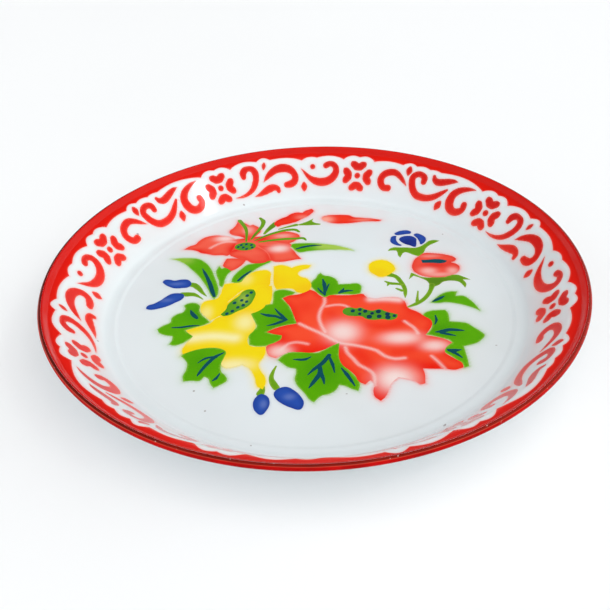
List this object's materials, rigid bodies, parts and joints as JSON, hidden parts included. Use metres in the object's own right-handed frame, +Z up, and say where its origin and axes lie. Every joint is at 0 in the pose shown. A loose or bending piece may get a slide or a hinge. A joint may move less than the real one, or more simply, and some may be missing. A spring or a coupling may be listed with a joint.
{
  "type": "enamelled serving tray",
  "caption": "Round shallow enamelled steel tray with a rolled rim, a red scroll border on the sloping wall and a flower spray painted on the flat floor.",
  "frame": {"origin": "middle of the underside of the flat floor, on the plane it rests on", "axes": "+Z up along the tray's axis, out of the dish; -Y towards the viewer, foot of the flower spray"},
  "size_m": [0.3999, 0.4, 0.0405],
  "materials": {
    "steel": "pressed sheet steel, under the enamel",
    "ground_enamel": "gloss, fired",
    "white_enamel": "gloss, fired",
    "bead_red": "gloss, fired",
    "border_red": "gloss, sprayed and fired",
    "pink_red": "gloss, sprayed and fired",
    "flower_red": "gloss, sprayed and fired",
    "flower_yellow": "gloss, sprayed and fired",
    "flower_blue": "gloss, sprayed and fired",
    "light_green": "gloss, sprayed and fired",
    "olive_green": "gloss, sprayed and fired",
    "leaf_green": "gloss, sprayed and fired",
    "dark_blue": "gloss, brushed and fired"
  },
  "bodies": {
    "root": {"pressed_sheet": "steel", "face_ground_coat": "ground_enamel", "back_ground_coat": "ground_enamel", "face_white_coat": "white_enamel", "back_white_coat": "white_enamel", "bead_red_coat": "bead_red", "rim_band": "border_red", "border_florets": "border_red", "border_scrolls": "border_red", "border_leaves": "border_red", "lily_petals": "pink_red", "lily_buds": "flower_red", "yellow_petals": "flower_yellow", "peony_petals": "flower_red", "poppy_petals": "flower_red", "blue_petals": "flower_blue", "seed_heads": "light_green", "stems_and_calyxes": "olive_green", "leaves": "leaf_green", "leaf_veins": "dark_blue", "seed_dots": "dark_blue"}
  },
  "joints": []
}
